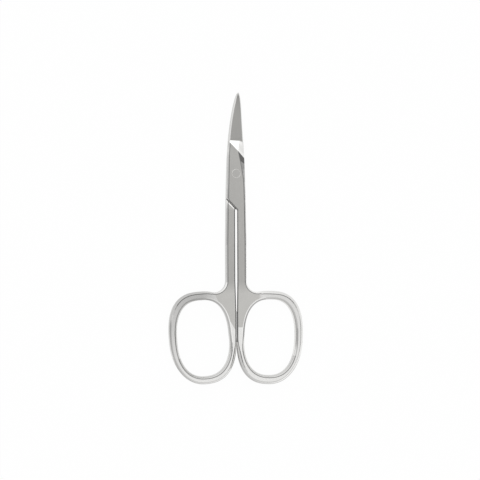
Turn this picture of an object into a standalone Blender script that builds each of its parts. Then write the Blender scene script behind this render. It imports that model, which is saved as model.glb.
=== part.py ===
"""Nail scissors with bent blades: two forged halves that turn on a flush-ground rivet.

Frame: the scissors lie closed on their back. The rivet's axis is Z through the origin, the
resting face is z = 0, the tips point along +Y and the rings along -Y. Everything is in metres.

Each half is worked out once, in the coordinates of the front half: x across, s along the blade
and the shank, h above the plane in which the two inner faces meet. The rear half is the same
forging turned over about the long axis (x and h change sign). The blades are worked out
straight, as they are ground, and then bent upwards over a round former.
"""

import bpy
import bmesh
from math import acos, cos, hypot, pi, radians, sin, sqrt

# Stock and fits
STOCK_THICKNESS = 0.0030
LAP_GAP = 0.0001
RUNNING_FIT = 0.00004
CUT_OVERRUN = 0.0005

# Blade, measured along its curve from the rivet
BLADE_LENGTH = 0.0287
BLADE_ROOT = 0.0070
BLADE_ROOT_HALF_WIDTH = 0.0030
TIP_HALF_WIDTH = 0.00025
EDGE_SETBACK = 0.00025
EDGE_THICKNESS = 0.00015
RIDGE_HEIGHT_AT_ROOT = 0.0013
RIDGE_HEIGHT_AT_TIP = 0.00050
SPINE_BEVEL_WIDTH = 0.00080
SPINE_BEVEL_DEPTH = 0.00035
SPINE_BEVEL_SHARE = 0.5
HOLLOW_DEPTH = 0.00004
BEND_START = 0.0080
BEND_RADIUS = 0.040

# Shoulder where the ground face of the blade runs out into the joint
GROUND_FACE_START = 0.0118
SHOULDER_AT_SPINE = 0.0115
SHOULDER_AT_EDGE = 0.0053
SHOULDER_SWEEP = radians(28)

# Joint plate, and the stop where the lap ends
JOINT_HALF_WIDTH = 0.00312
HEEL_HALF_WIDTH = 0.00332
HEEL_DROP = 0.0086
THROAT_DROP = 0.0127
PLATE_BEVEL_WIDTH = 0.00080
SCOOP_WIDTH = 0.0026
SCOOP_DEPTH = 0.0011
STOP_GAP = 0.0003
STOP_WALL_RUN = 0.0002
STOP_WALL_SWEEP = radians(80)
STOP_SLOPE_RUN = 0.00095
STOP_SLOPE_RUN_AT_THROAT = 0.00008
STOP_SLOPE_DEPTH = 0.00050

# Shank
SHANK_GAP = 0.0011
SHANK_HALF_SPAN = 0.00357
SHANK_FULL_SPAN_DROP = 0.025
CHAMFER_WIDTH = 0.00060
CHAMFER_DEPTH = 0.00050
INNER_EDGE_WIDTH = 0.00020
INNER_EDGE_DEPTH = 0.00020
INSIDE_CURVE_RADIUS = 0.0043

# Finger rings
HOLE_WIDTH = 0.0180
HOLE_HEIGHT = 0.0263
HOLE_DROP = 0.05735
RING_GAP = 0.0003
RING_WIDTH_INSIDE = 0.00285
RING_WIDTH_OUTSIDE = 0.00315
RING_WIDTH_ENDS = 0.0033
RING_CORNER_WIDTH = 0.00095
RING_CORNER_DEPTH = 0.00110
RING_CORNER_GROWTH = radians(50)
RING_LEAN = radians(2.2)
HOLE_POWER_ABOVE = 2.5
HOLE_POWER_BELOW = 2.3
RIM_POWER_ABOVE = 2.6
RIM_POWER_BELOW = 2.1

# Web between shank and ring, measured along the shank from the top of the ring
WEB_START_RISE = 0.0039
WEB_CLOSED_DEPTH = 0.0071
WEB_FAN_DEPTH = 0.0041
WEB_SINK = 0.00025
WEB_SINK_POWER = 8
WEB_RUNOUT = radians(9)
WEB_BURIED_SWEEP = radians(5.5)

# Rivet
RIVET_SHAFT_RADIUS = 0.00100
RIVET_HEAD_RADIUS = 0.00150
RIVET_HEAD_DEPTH = 0.00050

# Fineness of the curves
BLADE_STEPS = 18
SHOULDER_STEPS = 7
PLATE_STEPS = 6
STOP_STEPS = 4
CURVE_STEPS = 8
RUNOUT_STEPS = 3
WEB_STEPS = 9
RING_STEPS = 80
RING_CORNER_STEPS = 3
TURNED_STEPS = 40
SHARP_EDGE = radians(22)
ANGLE_STEP = radians(0.1)
ANGLE_TOLERANCE = radians(0.001)
MERGE_DISTANCE = 0.00001

# Derived places
HALF_STOCK = STOCK_THICKNESS / 2
INNER_FACE = LAP_GAP / 2
INSIDE_EDGE = SHANK_GAP / 2
RING_CENTRE_X = RING_GAP / 2 + RING_WIDTH_INSIDE + HOLE_WIDTH / 2
RIM_CENTRE_X = RING_CENTRE_X + (RING_WIDTH_OUTSIDE - RING_WIDTH_INSIDE) / 2
RIM_HALF_WIDTH = (HOLE_WIDTH + RING_WIDTH_INSIDE + RING_WIDTH_OUTSIDE) / 2
RIM_HALF_HEIGHT = HOLE_HEIGHT / 2 + RING_WIDTH_ENDS
RING_TOP_DROP = HOLE_DROP - RIM_HALF_HEIGHT
WEB_FAN_DROP = RING_TOP_DROP + WEB_FAN_DEPTH


def blend(start, end, share):
    """Value the given share of the way from start to end."""
    return start + (end - start) * share


def blend_points(start, end, share):
    """Point the given share of the way from start to end."""
    return tuple(blend(a, b, share) for a, b in zip(start, end))


def fillet_shares(step, steps, sweep):
    """Run and rise of a hollow curve that starts tangent and turns through sweep."""
    turned = sweep * step / steps
    return sin(turned) / sin(sweep), (1 - cos(turned)) / (1 - cos(sweep))


def blade_half_width(s):
    """Half the width of the closed blades, which taper in a long bow to the tip."""
    share = max(0, (s - BLADE_ROOT) / (BLADE_LENGTH - BLADE_ROOT))
    return sqrt(blend(BLADE_ROOT_HALF_WIDTH ** 2, TIP_HALF_WIDTH ** 2, share))


def outside_reach(s):
    """Distance from the long axis to the outside of the joint and the shank."""
    if s > BLADE_ROOT:
        return blade_half_width(s)
    if s > 0:
        return blend(JOINT_HALF_WIDTH, BLADE_ROOT_HALF_WIDTH, s / BLADE_ROOT)
    if s > -HEEL_DROP:
        return blend(JOINT_HALF_WIDTH, HEEL_HALF_WIDTH, -s / HEEL_DROP)
    share = min(1, (-s - HEEL_DROP) / (SHANK_FULL_SPAN_DROP - HEEL_DROP))
    return blend(HEEL_HALF_WIDTH, SHANK_HALF_SPAN, share)


def bowed_oval(angle, half_width, half_height, power_above, power_below):
    """Point at the given angle on an oval whose top and bottom differ in fullness."""
    power = power_above if sin(angle) > 0 else power_below
    across = abs(cos(angle) / half_width) ** power
    along = abs(sin(angle) / half_height) ** power
    radius = (across + along) ** (-1 / power)
    return radius * cos(angle), radius * sin(angle)


def ring_point(angle, centre_x, half_width, half_height, power_above, power_below):
    """Point of a ring's outline, with the ring leaning out at the top."""
    x, y = bowed_oval(angle, half_width, half_height, power_above, power_below)
    x, y = x * cos(RING_LEAN) + y * sin(RING_LEAN), y * cos(RING_LEAN) - x * sin(RING_LEAN)
    return centre_x + x, y - HOLE_DROP


def hole_point(angle):
    """Point on the edge of the finger hole."""
    return ring_point(angle, RING_CENTRE_X, HOLE_WIDTH / 2, HOLE_HEIGHT / 2,
                      HOLE_POWER_ABOVE, HOLE_POWER_BELOW)


def rim_point(angle):
    """Point on the outer edge of the ring."""
    return ring_point(angle, RIM_CENTRE_X, RIM_HALF_WIDTH, RIM_HALF_HEIGHT,
                      RIM_POWER_ABOVE, RIM_POWER_BELOW)


def rim_normal(angle):
    """Unit vector in plan that points out of the ring at the given angle."""
    before, after = rim_point(angle - ANGLE_STEP), rim_point(angle + ANGLE_STEP)
    x, y = after[1] - before[1], before[0] - after[0]
    return x / hypot(x, y), y / hypot(x, y)


def inside_curve():
    """Angle where the round inside corner touches the ring, and the corner's centre."""
    low, high = pi / 2, pi
    while high - low > ANGLE_TOLERANCE:
        angle = (low + high) / 2
        rim, normal = rim_point(angle), rim_normal(angle)
        centre = rim[0] + INSIDE_CURVE_RADIUS * normal[0], rim[1] + INSIDE_CURVE_RADIUS * normal[1]
        if centre[0] > SHANK_HALF_SPAN + INSIDE_CURVE_RADIUS:
            low = angle
        else:
            high = angle
    return angle, centre


def placed(side, x, s, h):
    """World point of a half's own x, s and h: turned over for the rear half, then bent."""
    x, h = side * x, side * h
    if s <= BEND_START:
        return x, s, HALF_STOCK + h
    turned = (s - BEND_START) / BEND_RADIUS
    radius = BEND_RADIUS - h
    return x, BEND_START + radius * sin(turned), HALF_STOCK + BEND_RADIUS - radius * cos(turned)


def section(left, right, left_inset, right_inset, bottom, top):
    """One cross-section of a forging as a loop of points (x, s, h).

    left and right are plan points on the two side walls, and the insets are where the bevels
    meet the faces. bottom gives five heights from left to right, and top six from right to left.
    """
    middle = blend_points(left_inset, right_inset, 1 / 2)
    bottom_plan = [left, left_inset, middle, right_inset, right]
    third = blend_points(right_inset, left_inset, 1 / 3)
    two_thirds = blend_points(right_inset, left_inset, 2 / 3)
    top_plan = [right, right_inset, third, two_thirds, left_inset, left]
    return [(*plan, h) for plan, h in zip(bottom_plan + top_plan, bottom + top)]


def lap_bottom(hollow=0):
    """Heights of the ground inner face, with the hollow in its middle."""
    return [INNER_FACE, INNER_FACE, INNER_FACE + hollow, INNER_FACE, INNER_FACE]


def flat_top(left_depth, right_depth):
    """Heights of the flat outer face between its two bevels."""
    return [HALF_STOCK - right_depth, *[HALF_STOCK] * 4, HALF_STOCK - left_depth]


def insets(left, right, left_width, right_width):
    """Plan points where the two bevels of a slanting cross-section meet the face."""
    slope = (right[1] - left[1]) / (right[0] - left[0])
    return ((left[0] + left_width, left[1] + slope * left_width),
            (right[0] - right_width, right[1] - slope * right_width))


def ground_top(ridge, spine_bevel_depth):
    """Heights of the ground blade face, from the cutting edge up to the ridge and spine."""
    edge = INNER_FACE + EDGE_THICKNESS
    ridge = INNER_FACE + ridge
    return [edge, *[blend(edge, ridge, share / 4) for share in range(1, 4)], ridge,
            ridge - spine_bevel_depth]


def blade_section(s):
    """Cross-section of the ground blade at s."""
    half_width = blade_half_width(s)
    share = (s - GROUND_FACE_START) / (BLADE_LENGTH - GROUND_FACE_START)
    ridge = blend(RIDGE_HEIGHT_AT_ROOT, RIDGE_HEIGHT_AT_TIP, share)
    bevel = min(SPINE_BEVEL_WIDTH, half_width * SPINE_BEVEL_SHARE)
    edge = half_width - min(EDGE_SETBACK, half_width * SPINE_BEVEL_SHARE)
    right_inset = blend(edge, -half_width + bevel, 1 / 4)
    hollow = HOLLOW_DEPTH * half_width / BLADE_ROOT_HALF_WIDTH
    return section((-half_width, s), (edge, s), (-half_width + bevel, s), (right_inset, s),
                   lap_bottom(hollow),
                   ground_top(ridge, SPINE_BEVEL_DEPTH * bevel / SPINE_BEVEL_WIDTH))


def plate_section(left_s, right_s):
    """Cross-section of the joint plate, which may run aslant from left_s to right_s.

    Above the rivet the bevel on the edge side widens into a scoop below the shoulder.
    """
    left, right = (-outside_reach(left_s), left_s), (outside_reach(right_s), right_s)
    scooped = max(0, right_s / SHOULDER_AT_EDGE) ** 2
    width = blend(CHAMFER_WIDTH, SCOOP_WIDTH, scooped)
    depth = blend(CHAMFER_DEPTH, SCOOP_DEPTH, scooped)
    return section(left, right, *insets(left, right, PLATE_BEVEL_WIDTH, width),
                   lap_bottom(), flat_top(CHAMFER_DEPTH, depth))


def plate_sections():
    """Cross-sections of the joint plate, from below the slanting step to its heel."""
    shares = [1 - step / PLATE_STEPS for step in range(1, PLATE_STEPS + 1)]
    sections = [plate_section(SHOULDER_AT_SPINE * share, SHOULDER_AT_EDGE * share)
                for share in shares]
    sections.append(plate_section(-HEEL_DROP, -HEEL_DROP))
    return sections


def shoulder_sections():
    """Cross-sections of the hollow shoulder from the ground face to the slanting step."""
    ground = blade_section(GROUND_FACE_START)
    step_line = plate_section(SHOULDER_AT_SPINE, SHOULDER_AT_EDGE)
    sections = []
    for step in range(1, SHOULDER_STEPS + 1):
        run, rise = fillet_shares(step, SHOULDER_STEPS, SHOULDER_SWEEP)
        sections.append([(blend(a[0], b[0], run), blend(a[1], b[1], run), blend(a[2], b[2], rise))
                         for a, b in zip(ground, step_line)])
    return sections


def notch_x(s):
    """Place across of the slanting edge that ends the joint plate beside the other shank."""
    share = (-s - HEEL_DROP) / (THROAT_DROP - HEEL_DROP)
    return blend(-HEEL_HALF_WIDTH, INSIDE_EDGE, share)


def notch_drop(x):
    """Distance below the rivet of the slanting edge at x."""
    return blend(HEEL_DROP, THROAT_DROP, (x + HEEL_HALF_WIDTH) / (INSIDE_EDGE + HEEL_HALF_WIDTH))


def heel_section():
    """Cross-section where the slanting edge has cut right through the plate's bevel."""
    x, right_s = PLATE_BEVEL_WIDTH - HEEL_HALF_WIDTH, -HEEL_DROP - STOP_GAP / 2
    left, right = (x, -notch_drop(x)), (outside_reach(right_s), right_s)
    return section(left, right, *insets(left, right, INNER_EDGE_WIDTH, CHAMFER_WIDTH),
                   lap_bottom(), flat_top(INNER_EDGE_DEPTH, CHAMFER_DEPTH))


def stop_sections():
    """Cross-sections where the lap ends and the shank takes its full thickness.

    A steep wall and a short slope follow the slanting edge of the other half, which is the
    mirror image of this half's own, at a small distance. So they start on this half's own edge
    near the long axis, and there the slope has no depth.
    """
    outer_drop = HEEL_DROP + STOP_GAP
    slant = (THROAT_DROP - HEEL_DROP) / (INSIDE_EDGE + HEEL_HALF_WIDTH)
    throat_drop = notch_drop(STOP_GAP / (2 * slant))
    sections = []
    for step in range(STOP_STEPS + 2):
        run, fall = fillet_shares(min(step, STOP_STEPS), STOP_STEPS, STOP_WALL_SWEEP)
        past_slope = max(0, step - STOP_STEPS)
        left_s = -throat_drop - STOP_WALL_RUN * run - STOP_SLOPE_RUN_AT_THROAT * past_slope
        right_s = -outer_drop - STOP_WALL_RUN * run - STOP_SLOPE_RUN * past_slope
        left, right = (notch_x(left_s), left_s), (outside_reach(right_s), right_s)
        short_of = STOP_SLOPE_DEPTH * (1 - past_slope)
        bottom = [blend(INNER_FACE, short_of * share - HALF_STOCK, fall)
                  for share in (0, 0, 1 / 2, 1, 1)]
        bottom[0] += INNER_EDGE_DEPTH * fall
        bottom[-1] += CHAMFER_DEPTH * fall
        sections.append(section(left, right, *insets(left, right, INNER_EDGE_WIDTH, CHAMFER_WIDTH),
                                bottom, flat_top(INNER_EDGE_DEPTH, CHAMFER_DEPTH)))
    return sections


def full_section(left, right, left_inset, right_inset):
    """Cross-section of the full stock, with the inner edges broken and the outer bevelled."""
    bottom = [INNER_EDGE_DEPTH - HALF_STOCK, *[-HALF_STOCK] * 3, CHAMFER_DEPTH - HALF_STOCK]
    return section(left, right, left_inset, right_inset, bottom,
                   flat_top(INNER_EDGE_DEPTH, CHAMFER_DEPTH))


def inside_edge(s):
    """Place across of the shank's and web's edge that faces the other half."""
    closing = (-s - RING_TOP_DROP + WEB_START_RISE) / (WEB_START_RISE + WEB_CLOSED_DEPTH)
    return blend(INSIDE_EDGE, RING_GAP / 2, min(1, max(0, closing)))


def shank_section(s):
    """Cross-section of the plain shank."""
    left, right = (inside_edge(s), s), (outside_reach(s), s)
    return full_section(left, right, *insets(left, right, INNER_EDGE_WIDTH, CHAMFER_WIDTH))


def corner_points():
    """Plan points of the outer side, and of its bevel's inner line, down the round corner.

    Past the corner they follow the ring's rim a little way and sink into it.
    """
    touch_angle, centre = inside_curve()
    sweep = acos(rim_normal(touch_angle)[0])
    points = []
    for step in range(CURVE_STEPS + 1):
        turned = sweep * step / CURVE_STEPS
        points.append([(centre[0] - radius * cos(turned), centre[1] - radius * sin(turned))
                       for radius in (INSIDE_CURVE_RADIUS, INSIDE_CURVE_RADIUS + CHAMFER_WIDTH)])
    for step in range(1, RUNOUT_STEPS + 1):
        angle = touch_angle - WEB_RUNOUT * step / RUNOUT_STEPS
        sink = WEB_SINK * (step / RUNOUT_STEPS) ** 2
        rim, normal = rim_point(angle), rim_normal(angle)
        points.append([(rim[0] - depth * normal[0], rim[1] - depth * normal[1])
                       for depth in (sink, sink + CHAMFER_WIDTH)])
    return points


def web_sections():
    """Cross-sections that fan out through the web, from the shank to the middle of the ring.

    Down to the ring their outer ends follow the round corner. Below it they are buried in the
    ring, along the middle of its section, and have no bevel there.
    """
    corner = corner_points()
    start_s = corner[0][0][1]
    first_angle = inside_curve()[0] + WEB_BURIED_SWEEP
    sections = []
    for step, (right, right_inset) in enumerate(corner):
        s = blend(start_s, -WEB_FAN_DROP, step / (len(corner) - 1))
        left = inside_edge(s)
        sections.append(full_section((left, s), right, (left + INNER_EDGE_WIDTH, s), right_inset))
    for step in range(1, WEB_STEPS + 1):
        share = step / WEB_STEPS
        s = blend(-WEB_FAN_DROP, -HOLE_DROP, share)
        angle = blend(first_angle, pi, (step - 1) / (WEB_STEPS - 1))
        left = (inside_edge(s) + WEB_SINK * share ** WEB_SINK_POWER, s)
        right = blend_points(hole_point(angle), rim_point(angle), 1 / 2)
        edge_share = INNER_EDGE_WIDTH / (right[0] - left[0])
        sections.append(full_section(left, right, blend_points(left, right, edge_share), right))
    return sections


def half_sections():
    """All cross-sections of one forging without its ring, from the tip to the web's toe."""
    blade_run = BLADE_LENGTH - GROUND_FACE_START
    sections = [blade_section(GROUND_FACE_START + blade_run * cos(pi / 2 * step / BLADE_STEPS))
                for step in range(BLADE_STEPS + 1)]
    sections += shoulder_sections()
    sections += plate_sections()
    sections.append(heel_section())
    sections += stop_sections()
    sections += [shank_section(-THROAT_DROP), shank_section(-SHANK_FULL_SPAN_DROP)]
    sections += web_sections()
    return sections


def rim_corner(angle):
    """Width and depth of the ring's outer corners, which grow away from the web.

    They start from the bevel of the round corner above, and from the broken edge below.
    """
    first_angle = inside_curve()[0] - WEB_RUNOUT
    behind_web = min(1, max(0, (angle - first_angle) / (pi - first_angle)))
    start = blend_points((CHAMFER_WIDTH, CHAMFER_DEPTH), (INNER_EDGE_WIDTH, INNER_EDGE_DEPTH),
                         behind_web)
    away = max(first_angle - angle, angle - pi)
    share = min(1, max(0, away / RING_CORNER_GROWTH))
    eased = (1 - cos(pi * share)) / 2
    return blend_points(start, (RING_CORNER_WIDTH, RING_CORNER_DEPTH), eased)


def ring_loops():
    """Cross-sections of the ring, each a rectangle with four elliptical corners."""
    loops = []
    for step in range(RING_STEPS):
        angle = 2 * pi * step / RING_STEPS - pi / 2
        hole, rim = hole_point(angle), rim_point(angle)
        width = hypot(rim[0] - hole[0], rim[1] - hole[1])
        loop = []
        for corner in range(4):
            outward = 1 if corner in (0, 3) else -1
            upward = 1 if corner in (0, 1) else -1
            corner_width, corner_depth = RING_CORNER_WIDTH, RING_CORNER_DEPTH
            if outward > 0:
                corner_width, corner_depth = rim_corner(angle)
            for part in range(RING_CORNER_STEPS + 1):
                turn = pi / 2 * (corner + part / RING_CORNER_STEPS)
                across = outward * (width / 2 - corner_width) + corner_width * cos(turn)
                h = upward * (HALF_STOCK - corner_depth) + corner_depth * sin(turn)
                loop.append((*blend_points(hole, rim, 1 / 2 + across / width), h))
        loops.append(loop)
    return loops


def lofted_mesh(name, loops, side, closed):
    """Mesh through the loops, joined end to end when closed and capped when not."""
    mesh = bpy.data.meshes.new(name)
    bm = bmesh.new()
    rows = [[bm.verts.new(placed(side, *point)) for point in loop] for loop in loops]
    pairs = list(zip(rows, rows[1:]))
    if closed:
        pairs.append((rows[-1], rows[0]))
    else:
        bm.faces.new(rows[0])
        bm.faces.new(rows[-1])
    for row, following in pairs:
        for index in range(len(row)):
            after = (index + 1) % len(row)
            bm.faces.new((row[index], row[after], following[after], following[index]))
    bmesh.ops.recalc_face_normals(bm, faces=bm.faces)
    bm.to_mesh(mesh)
    bm.free()
    return mesh


def turned_object(name, profile, collection):
    """Solid turned about Z from a profile of (radius, z) that runs from top to bottom."""
    mesh = bpy.data.meshes.new(name)
    edges = [(index, index + 1) for index in range(len(profile) - 1)]
    mesh.from_pydata([(radius, 0, z) for radius, z in profile], edges, [])
    turned = bpy.data.objects.new(name, mesh)
    collection.objects.link(turned)
    screw = turned.modifiers.new("turn", "SCREW")
    screw.axis = "Z"
    screw.steps = screw.render_steps = TURNED_STEPS
    screw.use_merge_vertices = True
    screw.merge_threshold = MERGE_DISTANCE
    apply_modifiers(turned)
    return turned


def rivet_profile(fit, overrun):
    """Profile of the rivet, or with a fit and an overrun that of the hole for it."""
    shaft = RIVET_SHAFT_RADIUS + fit
    slope = (RIVET_HEAD_RADIUS - RIVET_SHAFT_RADIUS) / RIVET_HEAD_DEPTH
    mouth = RIVET_HEAD_RADIUS + fit + overrun * slope
    return [(0, STOCK_THICKNESS + overrun), (mouth, STOCK_THICKNESS + overrun),
            (shaft, STOCK_THICKNESS - RIVET_HEAD_DEPTH), (shaft, RIVET_HEAD_DEPTH),
            (mouth, -overrun), (0, -overrun)]


def steel(name, colour, roughness):
    """Material of one part: bare stainless steel."""
    material = bpy.data.materials.new(name)
    material.use_nodes = True
    shader = material.node_tree.nodes["Principled BSDF"]
    shader.inputs["Base Color"].default_value = (*colour, 1)
    shader.inputs["Metallic"].default_value = 1
    shader.inputs["Roughness"].default_value = roughness
    return material


def apply_modifiers(target):
    """Replace an object's mesh by its modified one, smooth but for its real edges."""
    evaluated = target.evaluated_get(bpy.context.evaluated_depsgraph_get())
    target.data = bpy.data.meshes.new_from_object(evaluated)
    target.modifiers.clear()
    target.data.shade_smooth()
    target.data.set_sharp_from_angle(angle=SHARP_EDGE)


def as_cutter(guide):
    """Keep a helper solid out of the model."""
    guide.hide_render = True
    guide.display_type = "WIRE"
    return guide


def add_boolean(target, name, operation, other):
    """Join or cut target with another solid."""
    modifier = target.modifiers.new(name, "BOOLEAN")
    modifier.operation = operation
    modifier.solver = "EXACT"
    modifier.object = other


def make_half(name, side, material, parts, cutters, rivet_hole):
    """One forging: blade, joint and shank lofted in one, with the ring joined on."""
    half = bpy.data.objects.new(name, lofted_mesh(name, half_sections(), side, False))
    half.data.materials.append(material)
    parts.objects.link(half)
    ring = bpy.data.objects.new(name + "_ring", lofted_mesh(name + "_ring", ring_loops(), side, True))
    cutters.objects.link(as_cutter(ring))
    add_boolean(half, "ring", "UNION", ring)
    add_boolean(half, "rivet hole", "DIFFERENCE", rivet_hole)
    apply_modifiers(half)
    return half


def new_collection(name):
    """Collection in the scene."""
    collection = bpy.data.collections.new(name)
    bpy.context.scene.collection.children.link(collection)
    return collection


def clear_scene():
    """Remove whatever the scene holds."""
    for old in list(bpy.data.objects):
        bpy.data.objects.remove(old, do_unlink=True)


def main():
    """Build the scissors."""
    clear_scene()
    parts = new_collection("nail_scissors")
    cutters = new_collection("cutters")
    rivet_hole = turned_object("rivet_hole", rivet_profile(RUNNING_FIT, CUT_OVERRUN), cutters)
    as_cutter(rivet_hole)
    front_steel = steel("front_half_steel", (0.66, 0.65, 0.63), 0.20)
    rear_steel = steel("rear_half_steel", (0.64, 0.63, 0.61), 0.22)
    make_half("rear_half", -1, rear_steel, parts, cutters, rivet_hole)
    make_half("front_half", 1, front_steel, parts, cutters, rivet_hole)
    rivet = turned_object("pivot_rivet", rivet_profile(0, 0), parts)
    rivet.data.materials.append(steel("rivet_steel", (0.62, 0.61, 0.59), 0.25))


main()
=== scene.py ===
"""Nail scissors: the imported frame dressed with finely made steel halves, in studio light.

Each half is worked out in its own coordinates, x across, s along the blade and the shank and h
above the plane in which the halves meet. The rear half is the same forging turned over about
the long axis, and both blades are bent upwards over a round former. Angles on the ring are
counted from its right side, anticlockwise.
"""

import logging
from dataclasses import astuple, dataclass, field, replace
from enum import Enum
from math import acos, cos, hypot, pi, radians, sin, sqrt
from typing import Optional, Union

import bmesh
import bpy
from bmesh.types import BMesh, BMFace, BMVert
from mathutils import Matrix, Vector

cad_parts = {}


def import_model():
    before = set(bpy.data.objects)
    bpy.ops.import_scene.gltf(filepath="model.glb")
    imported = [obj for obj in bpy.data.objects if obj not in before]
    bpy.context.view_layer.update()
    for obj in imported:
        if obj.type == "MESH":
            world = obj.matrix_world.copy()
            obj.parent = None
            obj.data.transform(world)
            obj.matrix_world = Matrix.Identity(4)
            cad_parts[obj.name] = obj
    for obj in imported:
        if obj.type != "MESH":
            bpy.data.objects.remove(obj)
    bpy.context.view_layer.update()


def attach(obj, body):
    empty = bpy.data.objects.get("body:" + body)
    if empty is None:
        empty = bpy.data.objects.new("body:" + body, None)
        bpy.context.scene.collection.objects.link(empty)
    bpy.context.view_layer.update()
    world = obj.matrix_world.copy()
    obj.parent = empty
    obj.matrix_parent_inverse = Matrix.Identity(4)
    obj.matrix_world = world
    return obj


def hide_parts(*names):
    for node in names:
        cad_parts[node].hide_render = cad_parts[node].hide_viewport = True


LOG = logging.getLogger("nail_scissors")

MM = 0.001
GROUND_ATTRIBUTE = "ground"
# Each face's painted shade or highlight, as a share of the steel's colour.
TONE_ATTRIBUTE = "tone"

# The most that the easing of a corner takes of the way to the next corner.
EASED_SHARE = 0.45
# A bevel narrower than this many creases is painted with the crease shade all over.
DARK_WIDTH = 3
# Points across a cross-section's lower and upper face, and its corners that lie in a crease.
LOWER_POINTS = 5
UPPER_POINTS = 6
CREASE_CORNERS = (1, 3, 6, 9)
# How finely the ring's outline is followed to find its direction and where a corner touches it.
NORMAL_STEP = radians(0.1)
TOUCH_TOLERANCE = radians(0.001)
# Points closer together than this are one point.
MERGE_DISTANCE = 0.0001 * MM
# What the noise textures give on average.
NOISE_MIDDLE = 0.5

Plan = tuple[float, float]
Point = tuple[float, float, float]
Colour = tuple[float, float, float]
Number = Union[float, "Shade"]
Socket = bpy.types.NodeSocket
Paint = Union[Colour, Socket]


def blend(start: float, end: float, share: float) -> float:
    """Value the given share of the way from start to end."""
    return start + (end - start) * share


def blend_points(start: tuple, end: tuple, share: float) -> tuple:
    """Point the given share of the way from start to end."""
    return tuple(blend(a, b, share) for a, b in zip(start, end))


def eased(share: float) -> float:
    """Share that starts and ends gently, held between zero and one."""
    return (1 - cos(pi * min(1.0, max(0.0, share)))) / 2


def fillet_shares(step: int, steps: int, sweep: float, start: float = 0) -> tuple[float, float]:
    """Run and rise of a hollow curve that turns from one slope to another one.

    Args:
        step: Number of the point on the curve.
        steps: Number of the last point.
        sweep: Angle of the slope at the end.
        start: Angle of the slope at the start.

    Returns:
        How far along and how far up the point is, as shares of the whole curve.
    """
    turned = blend(start, sweep, step / steps)
    return ((sin(turned) - sin(start)) / (sin(sweep) - sin(start)),
            (cos(start) - cos(turned)) / (cos(start) - cos(sweep)))


class Side(Enum):
    """Which half a forging is. The value turns it over for the rear."""

    FRONT = 1
    REAR = -1

    @property
    def body(self) -> str:
        """Name of the body it rides on."""
        return self.name.lower()

    @property
    def node(self) -> str:
        """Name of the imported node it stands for."""
        return self.body + "_half"

    @property
    def slot(self) -> str:
        """Name of the record's material slot."""
        return self.node + "_steel"


@dataclass(frozen=True)
class Corner:
    """One corner of a cross-section, eased by a radius unless that is None."""

    point: Point
    radius: Optional[float] = None

    def towards(self, other: "Corner", run: float, rise: float) -> "Corner":
        """Corner part of the way to another one.

        Args:
            other: The corner at the far end.
            run: Share of the way in plan.
            rise: Share of the way in height.

        Returns:
            The corner between.
        """
        x, s, h = self.point
        far_x, far_s, far_h = other.point
        radius = None
        if self.radius is not None and other.radius is not None:
            radius = blend(self.radius, other.radius, run)
        return Corner((blend(x, far_x, run), blend(s, far_s, run), blend(h, far_h, rise)), radius)


def eased_corner(before: Point, corner: Corner, after: Point, steps: int) -> list[Point]:
    """Points of one corner, rounded off between its two neighbours.

    Args:
        before: Where the outline comes from.
        corner: The corner itself.
        after: Where the outline goes on to.
        steps: Number of facets in the rounding.

    Returns:
        The corner's own point where it has no radius, and otherwise steps + 1 points.
    """
    if corner.radius is None:
        return [corner.point]
    middle = Vector(corner.point)
    arms = []
    for neighbour in (before, after):
        arm = Vector(neighbour) - middle
        reach = min(corner.radius, arm.length * EASED_SHARE)
        arms.append(middle + arm.normalized() * reach)
    points = []
    for step in range(steps + 1):
        share = step / steps
        near, far = arms[0].lerp(middle, share), middle.lerp(arms[1], share)
        points.append(tuple(near.lerp(far, share)))
    return points


def eased_outline(corners: list[Corner], steps: int, closed: bool) -> list[Point]:
    """Points of an outline with its corners rounded off.

    Args:
        corners: The corners in order. An open outline starts and ends with a guide.
        steps: Number of facets in each rounding.
        closed: Whether the outline joins up.

    Returns:
        The outline's points, without the guides of an open one.
    """
    count = len(corners)
    chosen = range(count) if closed else range(1, count - 1)
    points: list[Point] = []
    for index in chosen:
        before, after = corners[index - 1].point, corners[(index + 1) % count].point
        points += eased_corner(before, corners[index], after, steps)
    return points


@dataclass(frozen=True)
class Stock:
    """The steel that both halves are forged from, and how they lie on each other."""

    thickness: float = 3.0 * MM
    lap_gap: float = 0.1 * MM
    bend_start: float = 8.0 * MM
    bend_radius: float = 40.0 * MM
    easing_steps: int = 3

    @property
    def half(self) -> float:
        """Half the thickness."""
        return self.thickness / 2

    @property
    def lap(self) -> float:
        """Height of a half's ground inner face."""
        return self.lap_gap / 2

    def place(self, side: Side, point: Point) -> Vector:
        """World place of a half's own point: turned over for the rear half, then bent.

        Args:
            side: The half that the point belongs to.
            point: The point in the half's own coordinates.

        Returns:
            The point in the world.
        """
        x, s, h = point[0] * side.value, point[1], point[2] * side.value
        if s <= self.bend_start:
            return Vector((x, s, self.half + h))
        turned = (s - self.bend_start) / self.bend_radius
        radius = self.bend_radius - h
        return Vector((x, self.bend_start + radius * sin(turned),
                       self.half + self.bend_radius - radius * cos(turned)))


class FinishAndPaintedLight(Enum):
    """How a face is finished while a half is being made, and the shade or highlight painted on
    it.

    Polished and ground are the two kinds of steel. Each of the others is polished steel with
    shade or a highlight painted into its colour, in the tone that SteelLook gives it.
    """

    POLISHED = 0
    GROUND = 1
    # Polished steel with painted tones: shade in creases, dark lines of shade, mild shade, a
    # highlight, shade on walls, the deepest shade and dim shade.
    CREASE = 2
    LINE = 3
    PAINTED_MILD_SHADE = 4
    PAINTED_HIGHLIGHT = 5
    WALL = 6
    PAINTED_DEEP_SHADE = 7
    PAINTED_DIM_SHADE = 8


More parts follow.
